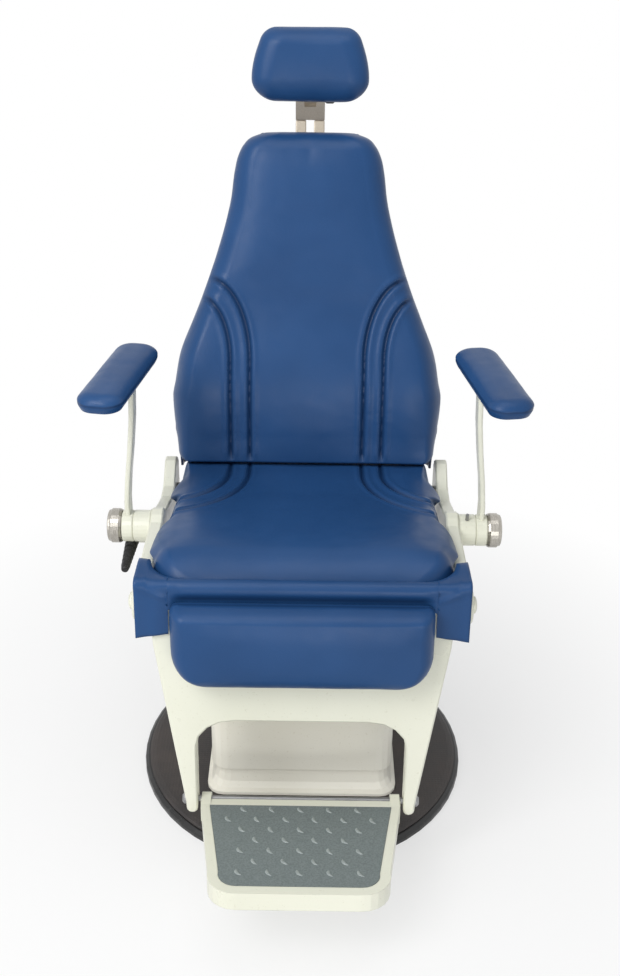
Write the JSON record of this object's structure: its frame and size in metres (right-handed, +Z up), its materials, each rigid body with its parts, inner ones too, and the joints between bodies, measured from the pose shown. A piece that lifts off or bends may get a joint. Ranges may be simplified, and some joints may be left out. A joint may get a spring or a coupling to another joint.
{
  "type": "ear nose and throat chair",
  "caption": "Upholstered examination chair on a round base with a lifting swivel column, coupled reclining backrest and legrest, folding footrest, folding arms and adjustable headrest.",
  "frame": {"origin": "centre of the round base on the floor", "axes": "+Z up, the front of the chair faces -Y, +X to the right in the picture"},
  "size_m": [0.7046, 0.9464, 1.268],
  "materials": {
    "base_black": "satin black",
    "base_rubber": "ribbed mat, satin",
    "column_paint": "satin warm white",
    "frame_paint": "satin cream enamel",
    "inner_steel": "plain",
    "board": "raw plywood",
    "blue_vinyl": "semi-gloss vinyl",
    "shell_plastic": "fine grain",
    "black_plastic": "fine grain",
    "head_steel": "satin beige",
    "knob_aluminium": "brushed",
    "foot_rubber": "studded, matte",
    "grip_rubber": "ribbed, matte"
  },
  "bodies": {
    "base": {"base_plate": "base_black", "base_mat": "base_rubber", "lower_sleeve": "column_paint", "lift_actuator_tube": "inner_steel"},
    "lift": {"upper_sleeve": "column_paint", "lift_actuator_rod": "inner_steel", "swivel_lower_ring": "inner_steel"},
    "seat": {"swivel_upper_ring": "inner_steel", "seat_base_bracket": "inner_steel", "cross_member_front": "inner_steel", "cross_member_rear": "inner_steel", "pan_rail_left": "inner_steel", "pan_rail_right": "inner_steel", "seat_pan": "board", "side_rail_left": "frame_paint", "side_rail_right": "frame_paint", "leg_pivot_bolt_left": "frame_paint", "leg_pivot_bolt_right": "frame_paint", "back_pivot_bolt_left": "frame_paint", "back_pivot_bolt_right": "frame_paint", "seat_cushion": "blue_vinyl", "front_apron": "blue_vinyl", "arm_collar_left": "frame_paint", "arm_collar_right": "frame_paint", "arm_stop_pin": "inner_steel", "recline_actuator": "black_plastic", "lock_boss": "frame_paint"},
    "backrest": {"back_pivot_tube": "inner_steel", "back_bracket_left": "inner_steel", "back_bracket_right": "inner_steel", "back_board": "board", "back_shell": "shell_plastic", "back_cushion": "blue_vinyl", "headrest_guide": "black_plastic"},
    "headrest_post": {"headrest_bar_left": "head_steel", "headrest_bar_right": "head_steel", "headrest_yoke": "head_steel"},
    "headrest": {"headrest_bracket": "head_steel", "headrest_pad": "blue_vinyl"},
    "headrest_knob": {"headrest_knob": "black_plastic"},
    "legrest": {"leg_pivot_tube": "inner_steel", "leg_frame": "frame_paint", "calf_pad": "blue_vinyl", "foot_hinge_rod": "inner_steel"},
    "footrest": {"foot_tray": "frame_paint", "foot_mat": "foot_rubber"},
    "leg_link": {"leg_link": "inner_steel"},
    "recline_rod": {"recline_rod": "inner_steel"},
    "arm_left": {"arm_bracket_left": "frame_paint", "arm_pad_plate_left": "black_plastic", "arm_pad_left": "blue_vinyl"},
    "arm_right": {"arm_bracket_right": "frame_paint", "arm_pad_plate_right": "black_plastic", "arm_pad_right": "blue_vinyl"},
    "arm_knob_left": {"arm_knob_left": "knob_aluminium"},
    "arm_knob_right": {"arm_knob_right": "knob_aluminium"},
    "lock_lever": {"lock_lever": "inner_steel", "lock_grip": "grip_rubber"}
  },
  "joints": [
    {"name": "lift", "type": "slide", "parent": "base", "child": "lift", "axis": [0, 0, 1], "range_m": [0, 0.2]},
    {"name": "swivel", "type": "hinge", "parent": "lift", "child": "seat", "pos_m": [0, 0, 0.352], "axis": [0, 0, 1], "continuous": true},
    {"name": "recline", "type": "hinge", "parent": "seat", "child": "backrest", "pos_m": [0, 0.21173, 0.45764], "axis": [-1, 0, 0], "range_deg": [0, 75]},
    {"name": "legrest_swing", "type": "hinge", "parent": "seat", "child": "legrest", "pos_m": [0, -0.24078, 0.5052], "axis": [-1, 0, 0], "range_deg": [0, 75], "deforming": ["front_apron"]},
    {"name": "footrest_fold", "type": "hinge", "parent": "legrest", "child": "footrest", "pos_m": [0, -0.27966, 0.13524], "axis": [-1, 0, 0], "range_deg": [0, 80]},
    {"name": "leg_link_turn", "type": "hinge", "parent": "backrest", "child": "leg_link", "pos_m": [0, 0.23786, 0.415], "axis": [-1, 0, 0], "range_deg": [-75.05, 0]},
    {"name": "recline_rod_slide", "type": "slide", "parent": "seat", "child": "recline_rod", "axis": [0, -0.9945, 0.1045], "range_m": [0, 0.061]},
    {"name": "headrest_height", "type": "slide", "parent": "backrest", "child": "headrest_post", "axis": [0, 0.2588, 0.9659], "range_m": [-0.01, 0.1]},
    {"name": "headrest_tilt", "type": "hinge", "parent": "headrest_post", "child": "headrest", "pos_m": [0, 0.40864, 1.14614], "axis": [1, 0, 0], "range_deg": [-35, 20]},
    {"name": "headrest_knob_turn", "type": "hinge", "parent": "headrest_post", "child": "headrest_knob", "pos_m": [0, 0.40864, 1.14614], "axis": [1, 0, 0], "range_deg": [0, 90]},
    {"name": "arm_left_fold", "type": "hinge", "parent": "seat", "child": "arm_left", "pos_m": [-0.2953, 0, 0.499], "axis": [-1, 0, 0], "range_deg": [0, 80]},
    {"name": "arm_right_fold", "type": "hinge", "parent": "seat", "child": "arm_right", "pos_m": [0.2953, 0, 0.499], "axis": [-1, 0, 0], "range_deg": [0, 80]},
    {"name": "arm_knob_left_turn", "type": "hinge", "parent": "seat", "child": "arm_knob_left", "pos_m": [-0.3153, 0, 0.499], "axis": [-1, 0, 0], "range_deg": [-90, 90]},
    {"name": "arm_knob_right_turn", "type": "hinge", "parent": "seat", "child": "arm_knob_right", "pos_m": [0.3153, 0, 0.499], "axis": [1, 0, 0], "range_deg": [-90, 90]},
    {"name": "lock_lever_press", "type": "hinge", "parent": "seat", "child": "lock_lever", "pos_m": [-0.3, 0.056, 0.448], "axis": [1, 0, 0], "range_deg": [0, 25]}
  ],
  "couplings": [
    {"joint": "legrest_swing", "follows": "recline", "ratio": 1},
    {"joint": "leg_link_turn", "follows": "recline", "ratio": -1},
    {"joint": "recline_rod_slide", "follows": "recline", "m_per_rad": 0.0465}
  ]
}
